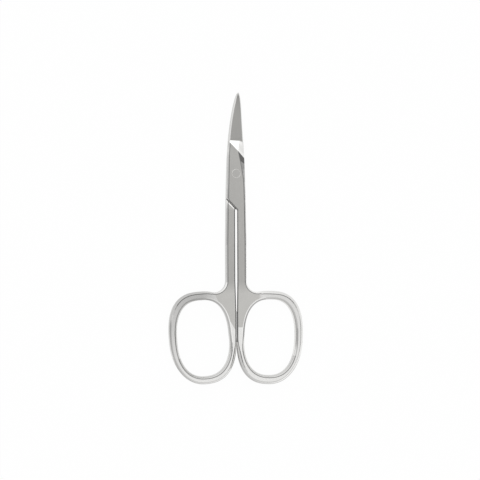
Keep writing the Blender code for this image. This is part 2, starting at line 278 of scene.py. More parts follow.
@dataclass(frozen=True)
class Bevel:
    """Slope along an edge: its size in plan and in depth, and how far its corners are eased.

    The crease is how far the line where it meets the face is rubbed out on either side.
    """

    width: float
    depth: float
    easing: float
    crease: float

    @property
    def dark(self) -> bool:
        """Whether it is so narrow that all of it is painted with the crease shade."""
        return self.width < DARK_WIDTH * self.crease

    def towards(self, other: "Bevel", share: float) -> "Bevel":
        """Bevel part of the way to another one."""
        return Bevel(*blend_points(astuple(self), astuple(other), share))


@dataclass
class Station:
    """One cross-section of a half, and the finishes and painted tones of the strip that follows
    it.
    """

    corners: list[Corner]
    # Unless set otherwise, the crease and the left wall are painted with shade.
    top: FinishAndPaintedLight = FinishAndPaintedLight.GROUND
    bottom: FinishAndPaintedLight = FinishAndPaintedLight.GROUND
    crease: FinishAndPaintedLight = FinishAndPaintedLight.CREASE
    left_bevel: FinishAndPaintedLight = FinishAndPaintedLight.POLISHED
    right_bevel: FinishAndPaintedLight = FinishAndPaintedLight.POLISHED
    left_wall: FinishAndPaintedLight = FinishAndPaintedLight.WALL

    @classmethod
    def across(cls, sides: tuple[Plan, Plan], insets: tuple[Plan, Plan], bottom: list[float],
               top: list[float], easings: tuple[float, float],
               creases: tuple[float, float]) -> "Station":
        """Cross-section from its two sides, its two inset lines and its heights.

        Args:
            sides: Plan points of the left and the right side wall.
            insets: Plan points where the left and the right bevel meet the face.
            bottom: Five heights of the lower face, from left to right.
            top: Six heights of the upper face, from right to left.
            easings: Radius of the left and of the right wall's corners.
            creases: Radius where the left and the right bevel meet the face.

        Returns:
            The cross-section.
        """
        (left, right), (left_inset, right_inset) = sides, insets
        middle = blend_points(left_inset, right_inset, 1 / 2)
        third = blend_points(right_inset, left_inset, 1 / 3)
        two_thirds = blend_points(right_inset, left_inset, 2 / 3)
        plans = [left, left_inset, middle, right_inset, right,
                 right, right_inset, third, two_thirds, left_inset, left]
        radii = [easings[0], creases[0], None, creases[1], easings[1],
                 easings[1], creases[1], None, None, creases[0], easings[0]]
        return cls([Corner((*plan, h), radius)
                    for plan, h, radius in zip(plans, bottom + top, radii)])

    def finishes(self, steps: int) -> list[FinishAndPaintedLight]:
        """The finish and painted tone of each face of the strip, once round from the left wall's
        lower corner.

        Args:
            steps: Number of facets in the easing of a corner.

        Returns:
            The finishes and painted tones in the order of the faces.
        """
        following = (self.left_bevel, self.bottom, self.bottom, self.right_bevel, FinishAndPaintedLight.WALL,
                     self.right_bevel, self.top, self.top, self.top, self.left_bevel,
                     self.left_wall)
        found = []
        for index, (corner, finish) in enumerate(zip(self.corners, following)):
            if corner.radius is not None:
                # Eased corners in a crease take the crease's tone, by default painted shade.
                eased_off = self.crease if index in CREASE_CORNERS else FinishAndPaintedLight.POLISHED
                found += [eased_off] * steps
            found.append(finish)
        return found


@dataclass(frozen=True)
class Blade:
    """The blade, ground on its face from a ridge beside the spine down to the edge."""

    stock: Stock
    length: float = 28.7 * MM
    root: float = 7.0 * MM
    root_half_width: float = 3.08 * MM
    tip_half_width: float = 0.25 * MM
    edge_setback: float = 0.25 * MM
    edge_thickness: float = 0.15 * MM
    ridge_at_root: float = 1.3 * MM
    ridge_at_tip: float = 0.5 * MM
    spine_width: float = 0.6 * MM
    spine_depth: float = 0.26 * MM
    spine_share: float = 0.5
    face_start: float = 11.8 * MM
    hollow: float = 0.04 * MM
    easing: float = 0.03 * MM
    steps: int = 34

    def half_width(self, s: float) -> float:
        """Half the width of the closed blades, which taper in a long bow to the tip."""
        share = max(0.0, (s - self.root) / (self.length - self.root))
        return sqrt(blend(self.root_half_width ** 2, self.tip_half_width ** 2, share))

    def station(self, s: float) -> Station:
        """Cross-section of the ground blade.

        Args:
            s: Place along the blade.

        Returns:
            The cross-section there.
        """
        half_width = self.half_width(s)
        share = (s - self.face_start) / (self.length - self.face_start)
        ridge = self.stock.lap + blend(self.ridge_at_root, self.ridge_at_tip, share)
        bevel = min(self.spine_width, half_width * self.spine_share)
        edge = half_width - min(self.edge_setback, half_width * self.spine_share)
        parts = UPPER_POINTS - 2
        inset = blend(edge, bevel - half_width, 1 / parts)
        lap, thin = self.stock.lap, self.stock.lap + self.edge_thickness
        hollow = lap + self.hollow * half_width / self.root_half_width
        rising = [blend(thin, ridge, part / parts) for part in range(parts + 1)]
        wall = ridge - self.spine_depth * bevel / self.spine_width
        station = Station.across(((-half_width, s), (edge, s)),
                                 ((bevel - half_width, s), (inset, s)),
                                 [lap, lap, hollow, lap, lap], [*rising, wall],
                                 (self.easing, self.easing), (self.easing, self.easing))
        station.crease = station.right_bevel = FinishAndPaintedLight.GROUND
        return station

    def stations(self) -> list[Station]:
        """Cross-sections from the tip to where the ground face ends, closest at the tip.

        Returns:
            The cross-sections in order.
        """
        run = self.length - self.face_start
        return [self.station(self.face_start + run * cos(pi / 2 * step / self.steps))
                for step in range(self.steps + 1)]


@dataclass(frozen=True)
class Joint:
    """The joint plate with its scooped shoulder, the stop that ends the lap, and the shank."""

    stock: Stock
    blade: Blade
    half_width: float = 3.22 * MM
    heel_half_width: float = 3.44 * MM
    heel_drop: float = 8.55 * MM
    throat_drop: float = 12.9 * MM
    shoulder_at_spine: float = 11.5 * MM
    shoulder_at_edge: float = 5.3 * MM
    shoulder_start: float = radians(12)
    shoulder_sweep: float = radians(28)
    shoulder_steps: int = 14
    plate_steps: int = 16
    stop_gap: float = 0.3 * MM
    wall_run: float = 0.2 * MM
    wall_sweep: float = radians(80)
    wall_steps: int = 8
    slope_run: float = 0.95 * MM
    slope_run_at_throat: float = 0.08 * MM
    slope_depth: float = 0.5 * MM
    shank_gap: float = 0.9 * MM
    shank_half_span: float = 3.69 * MM
    full_span_drop: float = 25.0 * MM
    outer_bevel: Bevel = Bevel(0.60 * MM, 0.50 * MM, 0.10 * MM, 0.18 * MM)
    spine_bevel: Bevel = Bevel(0.65 * MM, 0.48 * MM, 0.10 * MM, 0.18 * MM)
    scoop: Bevel = Bevel(2.40 * MM, 1.00 * MM, 0.10 * MM, 0.20 * MM)
    inner_edge: Bevel = Bevel(0.26 * MM, 0.26 * MM, 0.05 * MM, 0.11 * MM)
    scoop_end: float = -4.5 * MM
    scoop_steps: int = 6
    # Where painted dim shade, a painted dark line and the deepest painted shade start on the
    # scoop's bevel.
    scoop_deep_shade_above: float = 3.4 * MM
    scoop_dark_above: float = 1.6 * MM
    scoop_dim_above: float = -2.6 * MM

    @property
    def inside(self) -> float:
        """Place across of the shank's inner side."""
        return self.shank_gap / 2

    @property
    def notch_slope(self) -> float:
        """How far the slanting edge beside the other shank drops for its run across."""
        return (self.throat_drop - self.heel_drop) / (self.inside + self.heel_half_width)

    def notch(self, s: float) -> float:
        """Place across of the slanting edge that ends the plate beside the other shank."""
        return -self.heel_half_width + (-s - self.heel_drop) / self.notch_slope

    def notch_drop(self, x: float) -> float:
        """Distance below the rivet of the slanting edge at x."""
        return self.heel_drop + self.notch_slope * (x + self.heel_half_width)

    def reach(self, s: float) -> float:
        """Distance from the long axis to the outer side of the joint and the shank.

        Args:
            s: Place along the half.

        Returns:
            The distance there.
        """
        if s > self.blade.root:
            return self.blade.half_width(s)
        if s > 0:
            return blend(self.half_width, self.blade.root_half_width, s / self.blade.root)
        if s > -self.heel_drop:
            return blend(self.half_width, self.heel_half_width, -s / self.heel_drop)
        share = min(1.0, (-s - self.heel_drop) / (self.full_span_drop - self.heel_drop))
        return blend(self.heel_half_width, self.shank_half_span, share)

    def _bevelled(self, left: Plan, right: Plan, left_bevel: Bevel, right_bevel: Bevel,
                  bottom: list[float]) -> Station:
        """Cross-section below the flat outer face, with a bevel on each side of that.

        Args:
            left: Plan point of the left side wall.
            right: Plan point of the right side wall.
            left_bevel: Bevel along the left side.
            right_bevel: Bevel along the right side.
            bottom: Five heights of the lower face, from left to right.

        Returns:
            The cross-section.
        """
        slope = (right[1] - left[1]) / (right[0] - left[0])
        insets = ((left[0] + left_bevel.width, left[1] + slope * left_bevel.width),
                  (right[0] - right_bevel.width, right[1] - slope * right_bevel.width))
        face = self.stock.half
        top = [face - right_bevel.depth, *[face] * (UPPER_POINTS - 2), face - left_bevel.depth]
        station = Station.across((left, right), insets, bottom, top,
                                 (left_bevel.easing, right_bevel.easing),
                                 (left_bevel.crease, right_bevel.crease))
        # The bevels are painted with mild shade, a narrow left one with the crease shade.
        station.left_bevel = FinishAndPaintedLight.CREASE if left_bevel.dark else FinishAndPaintedLight.PAINTED_MILD_SHADE
        station.right_bevel = FinishAndPaintedLight.PAINTED_MILD_SHADE
        return station

    def plate(self, left_s: float, right_s: float) -> Station:
        """Cross-section of the joint plate, which may run aslant.

        Args:
            left_s: Place along the half of its left end.
            right_s: Place along the half of its right end.

        Returns:
            The cross-section.
        """
        left, right = (-self.reach(left_s), left_s), (self.reach(right_s), right_s)
        risen = (right_s - self.scoop_end) / (self.shoulder_at_edge - self.scoop_end)
        station = self._bevelled(left, right, self.spine_bevel,
                                 self.outer_bevel.towards(self.scoop, max(0.0, risen) ** 2),
                                 [self.stock.lap] * LOWER_POINTS)
        # Towards the blade the scoop's bevel is painted ever darker.
        for above, finish in ((self.scoop_dim_above, FinishAndPaintedLight.PAINTED_DIM_SHADE),
                              (self.scoop_dark_above, FinishAndPaintedLight.LINE),
                              (self.scoop_deep_shade_above, FinishAndPaintedLight.PAINTED_DEEP_SHADE)):
            if right_s > above:
                station.right_bevel = finish
        return station

    def shoulder(self) -> list[Station]:
        """Cross-sections of the hollow that leads from the ground face up to the plate.

        Returns:
            Those between the ground face's last one and the plate's first one.
        """
        ground = self.blade.station(self.blade.face_start)
        step_line = self.plate(self.shoulder_at_spine, self.shoulder_at_edge)
        stations = []
        for step in range(1, self.shoulder_steps):
            run, rise = fillet_shares(step, self.shoulder_steps, self.shoulder_sweep,
                                      self.shoulder_start)
            corners = [a.towards(b, run, rise) for a, b in zip(ground.corners, step_line.corners)]
            # The shoulder's hollow is painted with a highlight.
            stations.append(Station(corners, top=FinishAndPaintedLight.PAINTED_HIGHLIGHT, crease=FinishAndPaintedLight.PAINTED_HIGHLIGHT,
                                    right_bevel=FinishAndPaintedLight.PAINTED_HIGHLIGHT))
        return stations

    def plates(self) -> list[Station]:
        """Cross-sections of the joint plate from the slanting step to its heel.

        Returns:
            The cross-sections, aslant at first and straight across from the rivet on.
        """
        shares = [1 - step / self.plate_steps for step in range(self.plate_steps + 1)]
        ends = [(self.shoulder_at_spine * share, self.shoulder_at_edge * share)
                for share in shares]
        ends += [(self.scoop_end * step / self.scoop_steps,) * 2
                 for step in range(1, self.scoop_steps + 1)]
        return [self.plate(*pair) for pair in (*ends, (-self.heel_drop,) * 2)]

    def heel(self) -> Station:
        """Cross-section where the slanting edge has cut right through the plate's bevel.

        Returns:
            The cross-section, which runs aslant.
        """
        x = self.spine_bevel.width - self.heel_half_width
        right_s = -self.heel_drop - self.stop_gap / 2
        return self._bevelled((x, -self.notch_drop(x)), (self.reach(right_s), right_s),
                              self.inner_edge, self.outer_bevel,
                              [self.stock.lap] * LOWER_POINTS)

    def stop(self) -> list[Station]:
        """Cross-sections where the lap ends in a steep wall and a short polished slope.

        Returns:
            The cross-sections in order.
        """
        throat_drop = self.notch_drop(self.stop_gap / (2 * self.notch_slope))
        stations = []
        for step in range(self.wall_steps + 2):
            run, fall = fillet_shares(min(step, self.wall_steps), self.wall_steps,
                                      self.wall_sweep)
            past_slope = max(0, step - self.wall_steps)
            left_s = -throat_drop - self.wall_run * run - self.slope_run_at_throat * past_slope
            right_s = (-self.heel_drop - self.stop_gap - self.wall_run * run
                       - self.slope_run * past_slope)
            short_of = self.slope_depth * (1 - past_slope)
            bottom = [blend(self.stock.lap, short_of * share - self.stock.half, fall)
                      for share in (0, 0, 1 / 2, 1, 1)]
            bottom[0] += self.inner_edge.depth * fall
            bottom[-1] += self.outer_bevel.depth * fall
            station = self._bevelled((self.notch(left_s), left_s), (self.reach(right_s), right_s),
                                     self.inner_edge, self.outer_bevel, bottom)
            # The wall at the notch is painted with a highlight.
            station.left_wall = FinishAndPaintedLight.PAINTED_HIGHLIGHT
            if not past_slope:
                station.bottom = FinishAndPaintedLight.POLISHED
            stations.append(station)
        return stations

    def shank(self, s: float) -> Station:
        """Cross-section of the plain shank.

        Args:
            s: Place along the half.

        Returns:
            The cross-section there.
        """
        face = self.stock.half
        bottom = [self.inner_edge.depth - face, *[-face] * (LOWER_POINTS - 2),
                  self.outer_bevel.depth - face]
        station = self._bevelled((self.inside, s), (self.reach(s), s),
                                 self.inner_edge, self.outer_bevel, bottom)
        # The shank's inner wall is painted with a highlight.
        station.left_wall = FinishAndPaintedLight.PAINTED_HIGHLIGHT
        return station

    def stations(self) -> list[Station]:
        """Cross-sections from the shoulder to the plain shank."""
        return [*self.shoulder(), *self.plates(), self.heel(), *self.stop(),
                self.shank(-self.throat_drop), self.shank(-self.full_span_drop)]


@dataclass(frozen=True)
class EdgeStop:
    """One point on the handle's outline in plan, with the bevel it has there and its finishes and
    painted tones.
    """

    point: Plan
    bevel: Bevel
    slope: FinishAndPaintedLight = FinishAndPaintedLight.POLISHED
    # Unless set otherwise, the crease and the wall are painted with shade.
    crease: FinishAndPaintedLight = FinishAndPaintedLight.CREASE
    band: FinishAndPaintedLight = FinishAndPaintedLight.GROUND
    edge: Optional[FinishAndPaintedLight] = None
    wall: FinishAndPaintedLight = FinishAndPaintedLight.WALL


@dataclass(frozen=True)
class Handle:
    """The shank's lower end, the web and the leaning finger ring, as one outline and one hole."""

    stock: Stock
    joint: Joint
    hole_width: float = 18.2 * MM
    hole_height: float = 26.6 * MM
    hole_drop: float = 57.5 * MM
    ring_gap: float = 0.3 * MM
    width_inside: float = 2.65 * MM
    width_outside: float = 2.95 * MM
    width_above: float = 2.99 * MM
    width_below: float = 2.99 * MM
    lean: float = radians(2.2)
    hole_power_above: float = 2.5
    hole_power_below: float = 2.38
    rim_power_above: float = 2.6
    rim_power_below: float = 2.12
    rim_power_inside: float = 2.47
    corner_radius: float = 3.9 * MM
    web_start_rise: float = 3.9 * MM
    web_closed_depth: float = 7.1 * MM
    rim_bevel: Bevel = Bevel(0.95 * MM, 0.84 * MM, 0.30 * MM, 0.18 * MM)
    hole_bevel: Bevel = Bevel(0.85 * MM, 0.85 * MM, 0.48 * MM, 0.18 * MM)
    web_hole_bevel: Bevel = Bevel(0.65 * MM, 0.45 * MM, 0.12 * MM, 0.11 * MM)
    rim_polish_starts: float = radians(122)
    rim_polish_spread: float = radians(35)
    hole_polish_above: float = radians(98)
    hole_polish_below: float = radians(168)
    hole_polish_spread: float = radians(35)
    # Angles where the painted shade, dark lines and highlights along the hole and the rim start
    # and end.
    hole_soft_above: float = radians(20)
    hole_bright_above: float = radians(98)
    hole_dark_below: float = radians(196)
    hole_line_below: float = radians(325)
    rim_crease_starts: float = radians(40)
    rim_crease_ends: float = radians(235)
    line_fade: float = radians(7)
    rim_shade_starts: float = radians(185)
    rim_shade_ends: float = radians(330)
    web_band: float = 0.25 * MM
    rim_steps: int = 220
    hole_steps: int = 180
    corner_steps: int = 20
    side_steps: int = 12

    def _oval(self, angle: float, centre_x: float, half_width: float, half_height: float,
              power_above: float, power_below: float) -> Plan:
        """Point on a leaning oval that is fuller above than below.

        Args:
            angle: Angle from the oval's right side.
            centre_x: Place across of its centre.
            half_width: Half its width.
            half_height: Half its height.
            power_above: How square it is above, where 2 is an ellipse.
            power_below: How square it is below.

        Returns:
            The point in plan.
        """
        power = power_above if sin(angle) > 0 else power_below
        across = abs(cos(angle) / half_width) ** power
        along = abs(sin(angle) / half_height) ** power
        radius = (across + along) ** (-1 / power)
        x, y = radius * cos(angle), radius * sin(angle)
        return (centre_x + x * cos(self.lean) + y * sin(self.lean),
                y * cos(self.lean) - x * sin(self.lean) - self.hole_drop)

    def hole_point(self, angle: float) -> Plan:
        """Point on the edge of the finger hole.

        Args:
            angle: Angle from its right side.

        Returns:
            The point in plan.
        """
        centre = self.ring_gap / 2 + self.width_inside + self.hole_width / 2
        return self._oval(angle, centre, self.hole_width / 2, self.hole_height / 2,
                          self.hole_power_above, self.hole_power_below)

    def rim_point(self, angle: float) -> Plan:
        """Point on the outer edge of the ring.

        Args:
            angle: Angle from its right side.

        Returns:
            The point in plan.
        """
        half_width = (self.hole_width + self.width_inside + self.width_outside) / 2
        end_width = self.width_above if sin(angle) > 0 else self.width_below
        power_below = self.rim_power_inside if cos(angle) < 0 else self.rim_power_below
        return self._oval(angle, self.ring_gap / 2 + half_width, half_width,
                          self.hole_height / 2 + end_width,
                          self.rim_power_above, power_below)

    def rim_normal(self, angle: float) -> Plan:
        """Unit vector in plan that points out of the ring.

        Args:
            angle: Angle from the ring's right side.

        Returns:
            The vector.
        """
        before, after = (self.rim_point(angle + step) for step in (-NORMAL_STEP, NORMAL_STEP))
        x, y = after[1] - before[1], before[0] - after[0]
        return x / hypot(x, y), y / hypot(x, y)

    def corner(self) -> tuple[float, Plan]:
        """Find the round corner between the ring and the shank's outer side.

        Returns:
            The angle where it touches the ring, and its centre in plan.
        """
        low, high = pi / 2, pi
        radius = self.corner_radius
        while high - low > TOUCH_TOLERANCE:
            angle = (low + high) / 2
            rim, normal = self.rim_point(angle), self.rim_normal(angle)
            centre = rim[0] + radius * normal[0], rim[1] + radius * normal[1]
            if centre[0] > self.joint.shank_half_span + radius:
                low = angle
            else:
                high = angle
        return angle, centre

    def _rim_bevel_at(self, angle: float) -> Bevel:
        """Bevel of the ring's outer edge, which grows away from the web.

        Args:
            angle: Angle from the ring's right side.

        Returns:
            The bevel there.
        """
        turned = angle % (2 * pi)
        start, away = self.joint.outer_bevel, self.rim_polish_starts - turned
        if pi <= turned < 3 * pi / 2:
            start, away = self.joint.inner_edge, turned - pi
        elif turned > pi:
            away += 2 * pi
        return start.towards(self.rim_bevel, eased(away / self.rim_polish_spread))

    def _hole_bevel_at(self, angle: float) -> Bevel:
        """Bevel of the hole's edge, which is narrow beside the web.

        Args:
            angle: Angle from the hole's right side.

        Returns:
            The bevel there.
        """
        turned = angle % (2 * pi)
        away = max(self.hole_polish_above - turned, turned - self.hole_polish_below)
        share = eased(away / self.hole_polish_spread)
        return self.web_hole_bevel.towards(self.hole_bevel, share)

    def _faded(self, inside: float, *finishes: FinishAndPaintedLight) -> FinishAndPaintedLight:
        """The finish or painted tone that far inside the end of a stretch that fades in from one
        to the next.
        """
        return finishes[int(min(len(finishes) - 1, max(0.0, inside / self.line_fade + 1)))]

    def _rim_crease_at(self, angle: float) -> FinishAndPaintedLight:
        """Painted dark line of shade inside the rim's bevel, which fades out at its ends."""
        inside = max(self.rim_crease_ends - angle, angle - 2 * pi - self.rim_crease_starts)
        return self._faded(inside, FinishAndPaintedLight.POLISHED, FinishAndPaintedLight.PAINTED_MILD_SHADE, FinishAndPaintedLight.LINE, FinishAndPaintedLight.CREASE)

    def _rim_edge_at(self, angle: float) -> FinishAndPaintedLight:
        """Shade painted on the rim's eased edge round the bottom of the ring, which is polished
        elsewhere.
        """
        inside = min(angle - self.rim_shade_starts, self.rim_shade_ends - angle)
        return self._faded(inside, FinishAndPaintedLight.POLISHED, FinishAndPaintedLight.PAINTED_MILD_SHADE, FinishAndPaintedLight.PAINTED_DIM_SHADE, FinishAndPaintedLight.LINE)

    def _hole_finishes_at(self, angle: float) -> tuple[FinishAndPaintedLight, FinishAndPaintedLight, FinishAndPaintedLight]:
        """Finishes and painted shade and highlights along the hole's edge.

        Args:
            angle: Angle from the hole's right side.

        Returns:
            Finishes and painted tones of the bevel, of the line inside it and of the band beside
            that.
        """
        turned = angle % (2 * pi)
        dark = self.hole_dark_below
        for end, bevel, line in ((self.hole_soft_above, FinishAndPaintedLight.POLISHED, FinishAndPaintedLight.LINE),
                                 (self.hole_bright_above, FinishAndPaintedLight.POLISHED, FinishAndPaintedLight.PAINTED_MILD_SHADE),
                                 (dark, FinishAndPaintedLight.PAINTED_MILD_SHADE, FinishAndPaintedLight.PAINTED_HIGHLIGHT),
                                 (dark + self.line_fade, FinishAndPaintedLight.PAINTED_MILD_SHADE, FinishAndPaintedLight.PAINTED_MILD_SHADE),
                                 (dark + 2 * self.line_fade, FinishAndPaintedLight.PAINTED_MILD_SHADE, FinishAndPaintedLight.LINE),
                                 (self.hole_line_below, FinishAndPaintedLight.PAINTED_MILD_SHADE, FinishAndPaintedLight.CREASE),
                                 (2 * pi, FinishAndPaintedLight.POLISHED, FinishAndPaintedLight.LINE)):
            if turned < end:
                break
        return bevel, line, FinishAndPaintedLight.PAINTED_HIGHLIGHT if line is FinishAndPaintedLight.PAINTED_HIGHLIGHT else FinishAndPaintedLight.GROUND

    def inner_side(self) -> list[EdgeStop]:
        """Outline from the shank down its inner side to the ring.

        Returns:
            The outline's points.
        """
        ring_top = self.hole_drop - self.hole_height / 2 - self.width_above
        start, closed = ring_top - self.web_start_rise, ring_top + self.web_closed_depth
        marks = (self.joint.full_span_drop, start, closed, -self.rim_point(pi)[1])
        drops = [blend(above, below, step / self.side_steps)
                 for above, below in zip(marks, marks[1:]) for step in range(self.side_steps)]
        stops = []
        for drop in drops:
            share = min(1.0, max(0.0, (drop - start) / (closed - start)))
            x = blend(self.joint.inside, self.ring_gap / 2, share)
            # The inner wall is painted with a highlight down to where the halves close, and with
            # shade below that.
            wall = FinishAndPaintedLight.PAINTED_HIGHLIGHT if drop < closed else FinishAndPaintedLight.WALL
            stops.append(EdgeStop((x, -drop), self.joint.inner_edge, wall=wall))
        return stops

    def outline(self) -> list[EdgeStop]:
        """Outline from the shank's inner side, round the ring and up to its outer side.

        Returns:
            The outline's points.
        """
        touch, centre = self.corner()
        first, last = pi, touch + 2 * pi
        stops = self.inner_side()
        # The ring's outer wall is painted with dim shade.
        for step in range(self.rim_steps):
            angle = blend(first, last, step / self.rim_steps)
            stops.append(EdgeStop(self.rim_point(angle), self._rim_bevel_at(angle),
                                  crease=self._rim_crease_at(angle),
                                  edge=self._rim_edge_at(angle), wall=FinishAndPaintedLight.PAINTED_DIM_SHADE))
        sweep = acos(self.rim_normal(touch)[0])
        for step in range(self.corner_steps + 1):
            turned = sweep * (1 - step / self.corner_steps)
            point = (centre[0] - self.corner_radius * cos(turned),
                     centre[1] - self.corner_radius * sin(turned))
            stops.append(EdgeStop(point, self.joint.outer_bevel))
        outside, top = self.joint.shank_half_span, -self.joint.full_span_drop
        for step in range(1, self.side_steps + 1):
            s = blend(centre[1], top, step / self.side_steps)
            stops.append(EdgeStop((outside, s), self.joint.outer_bevel))
        return stops

    def hole(self) -> list[EdgeStop]:
        """Outline of the finger hole, with the steel on its left as it is followed.

        Returns:
            The outline's points.
        """
        angles = [-2 * pi * step / self.hole_steps for step in range(self.hole_steps)]
        return [EdgeStop(self.hole_point(angle), self._hole_bevel_at(angle),
                         *self._hole_finishes_at(angle)) for angle in angles]

    def profiles(self, stops: list[EdgeStop], closed: bool) -> list[list[Point]]:
        """Profile of the edge at each stop, from the bottom face over the wall to the top face.

        Args:
            stops: The outline, followed with the steel on its left.
            closed: Whether the outline joins up.

        Returns:
            One open profile of points for each stop.
        """
        count, face = len(stops), self.stock.half
        profiles = []
        for index, stop in enumerate(stops):
            before = stops[index - 1] if closed or index else stop
            after = stops[(index + 1) % count] if closed or index + 1 < count else stop
            run_x, run_y = after.point[0] - before.point[0], after.point[1] - before.point[1]
            inward = (-run_y / hypot(run_x, run_y), run_x / hypot(run_x, run_y))
            bevel = stop.bevel
            wall = face - bevel.depth
            corners = []
            run = max(self.web_band, bevel.crease / EASED_SHARE)
            band, past = bevel.width + run, bevel.width + 2 * run
            for inset, h, radius in ((past, -face, None), (band, -face, None),
                                     (bevel.width, -face, bevel.crease),
                                     (0, -wall, bevel.easing), (0, wall, bevel.easing),
                                     (bevel.width, face, bevel.crease),
                                     (band, face, None), (past, face, None)):
                plan = (stop.point[0] + inward[0] * inset, stop.point[1] + inward[1] * inset)
                corners.append(Corner((*plan, h), radius))
            points = eased_outline(corners, self.stock.easing_steps, closed=False)
            if not closed and index in (0, count - 1):
                points[0], points[-1] = points[1], points[-2]
            profiles.append(points)
        return profiles

    def finishes(self, stop: EdgeStop) -> list[FinishAndPaintedLight]:
        """The finish and painted tone of each face across an edge's profile, in the order of its
        points.

        Args:
            stop: The point on the outline.

        Returns:
            The finishes and painted tones, from the bottom to the top.
        """
        steps = self.stock.easing_steps
        slope = FinishAndPaintedLight.CREASE if stop.bevel.dark else stop.slope
        crease, easing = [stop.crease] * steps, [stop.edge or slope] * steps
        return [stop.band, *crease, slope, *easing, stop.wall, *easing, slope, *crease,
                stop.band]


@dataclass(frozen=True)
class SteelLook:
    """Colours and roughness of a forging's steel, polished and ground, and the shade and
    highlights painted into its colour.
    """

    polished: Colour = (0.88, 0.875, 0.86)
    ground: Colour = (0.425, 0.420, 0.405)
    # Shares of the colour left where shade is painted, and over one where a highlight is painted.
    crease_painted_shade: float = 0.28
    dark_line_painted_shade: float = 0.55
    mild_painted_shade: float = 0.80
    painted_highlight_gain: float = 1.12
    wall_painted_shade: float = 0.50
    deep_painted_shade: float = 0.22
    dim_painted_shade: float = 0.64
    blade_gain: float = 0.07
    # Painted light on the web's ground faces, and painted shade on the ring's polished faces that
    # deepens towards the web and outwards.
    web_painted_light: float = 0.28
    ring_painted_shade: float = 0.14
    polished_roughness: float = 0.13
    ground_roughness: float = 0.30
    tone_spread: float = 0.10
    grain_spread: float = 0.10
    grain_depth: float = 0.004 * MM
    grain_across: float = 9000.0
    grain_along: float = 260.0
    smudge_scale: float = 170.0
    noise_roughness: float = 0.6
    grain_detail: float = 2.0
    smudge_detail: float = 3.0
    scratches_across: float = 3000.0
    scratches_along: float = 130.0
    scratch_detail: float = 1.0
    scratch_gain: float = 8.0
    scratch_start: float = 5.2
    scratch_depth: float = 0.006 * MM
    scratch_roughness: float = 0.05
    bump_strength: float = 0.5

    def tone(self, finish: FinishAndPaintedLight) -> float:
        """How much of the steel's colour is left by the shade or highlight painted with a finish.

        Args:
            finish: The finish.

        Returns:
            The share of the colour, which is over one for a painted highlight.
        """
        tones = {FinishAndPaintedLight.CREASE: self.crease_painted_shade, FinishAndPaintedLight.LINE: self.dark_line_painted_shade,
                 FinishAndPaintedLight.PAINTED_MILD_SHADE: self.mild_painted_shade, FinishAndPaintedLight.PAINTED_HIGHLIGHT: self.painted_highlight_gain,
                 FinishAndPaintedLight.WALL: self.wall_painted_shade, FinishAndPaintedLight.PAINTED_DEEP_SHADE: self.deep_painted_shade,
                 FinishAndPaintedLight.PAINTED_DIM_SHADE: self.dim_painted_shade}
        return tones.get(finish, 1.0)


class Shade:
    """A number that varies over a surface, as the socket that carries it."""

    def __init__(self, graph: "Graph", socket: Socket) -> None:
        """Wrap a node's output."""
        self.graph = graph
        self.socket = socket

    def _with(self, operation: str, first: Number, second: Number) -> "Shade":
        """Result of a sum on two numbers."""
        node = self.graph.node("ShaderNodeMath", {"operation": operation}, {0: first, 1: second})
        return Shade(self.graph, node.outputs[0])

    def __add__(self, other: Number) -> "Shade":
        """Sum."""
        return self._with("ADD", self, other)

    __radd__ = __add__

    def __sub__(self, other: Number) -> "Shade":
        """Difference."""
        return self._with("SUBTRACT", self, other)

    def __rsub__(self, other: Number) -> "Shade":
        """Difference from a plain number."""
        return self._with("SUBTRACT", other, self)

    def __mul__(self, other: Number) -> "Shade":
        """Product."""
        return self._with("MULTIPLY", self, other)

    __rmul__ = __mul__

    def at_least(self, other: Number) -> "Shade":
        """The larger of the two."""
        return self._with("MAXIMUM", self, other)

    def at_most(self, other: Number) -> "Shade":
        """The smaller of the two."""
        return self._with("MINIMUM", self, other)

    def held(self) -> "Shade":
        """Held between zero and one."""
        return self.at_least(0.0).at_most(1.0)

    def rising(self, start: float, run: float) -> "Shade":
        """Share that rises from zero at start to one a run beyond it."""
        return ((self - start) * (1 / run)).held()

    def falling(self, end: float, run: float) -> "Shade":
        """Share that falls from one a run before end to zero there."""
        return ((end - self) * (1 / run)).held()


class Graph:
    """A node tree that is filled node by node."""

    def __init__(self, tree: bpy.types.NodeTree) -> None:
        """Start with an empty tree."""
        tree.nodes.clear()
        self.tree = tree

    def node(self, kind: str, settings: Optional[dict] = None,
             sockets: Optional[dict] = None) -> bpy.types.Node:
        """Add a node.

        Args:
            kind: The node's type.
            settings: Properties to set first.
            sockets: Values or links of its inputs, by name or number.

        Returns:
            The node.
        """
        node = self.tree.nodes.new(kind)
        for name, value in (settings or {}).items():
            setattr(node, name, value)
        for name, value in (sockets or {}).items():
            if isinstance(value, Shade):
                value = value.socket
            if isinstance(value, Socket):
                self.tree.links.new(value, node.inputs[name])
            else:
                node.inputs[name].default_value = value
        return node

    def shade(self, kind: str, settings: Optional[dict] = None, sockets: Optional[dict] = None,
              output: Union[int, str] = 0) -> Shade:
        """Add a node and take one of its outputs as a number."""
        return Shade(self, self.node(kind, settings, sockets).outputs[output])

    def mix_colours(self, factor: Number, first: Paint, second: Paint,
                    how: str = "MIX") -> Socket:
        """Mix two colours.

        Args:
            factor: How far towards the second.
            first: The first colour or a link to it.
            second: The second colour or a link to it.
            how: The kind of mixing.

        Returns:
            The mixed colour's socket.
        """
        first, second = ((*paint, 1.0) if isinstance(paint, tuple) else paint
                         for paint in (first, second))
        node = self.node("ShaderNodeMix", {"data_type": "RGBA", "blend_type": how},
                         {0: factor, 6: first, 7: second})
        return node.outputs[2]


